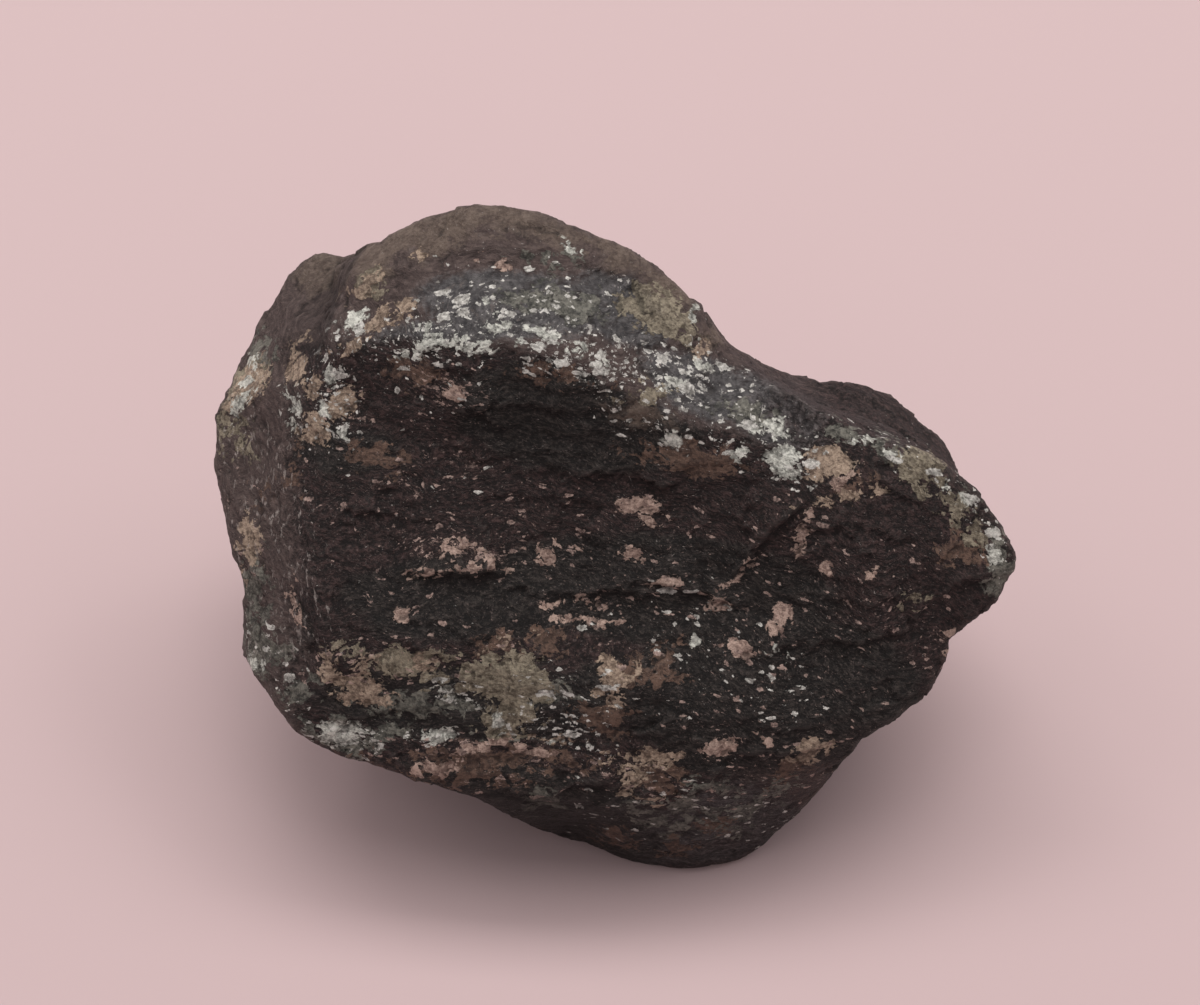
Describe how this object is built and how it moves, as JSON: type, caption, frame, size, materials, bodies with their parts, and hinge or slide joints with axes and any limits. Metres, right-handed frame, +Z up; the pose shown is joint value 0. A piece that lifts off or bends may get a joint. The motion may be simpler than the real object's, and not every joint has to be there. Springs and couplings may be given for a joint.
{
  "type": "rough labradorite chunk",
  "caption": "Rough broken lump of dark foliated stone with a scooped front face, a humped back, a pointed end and a flat underside to rest on.",
  "frame": {"origin": "middle of the bounding box, at the flat underside the stone rests on", "axes": "+Z up from the resting face, +X along the longest side towards the pointed end, -Y towards the scooped dark face"},
  "size_m": [0.0786, 0.05, 0.0509],
  "materials": {
    "stone": "rough broken rock, near-black with pale mineral flecks and patches"
  },
  "bodies": {
    "root": {"labradorite_chunk": "stone"}
  },
  "joints": []
}
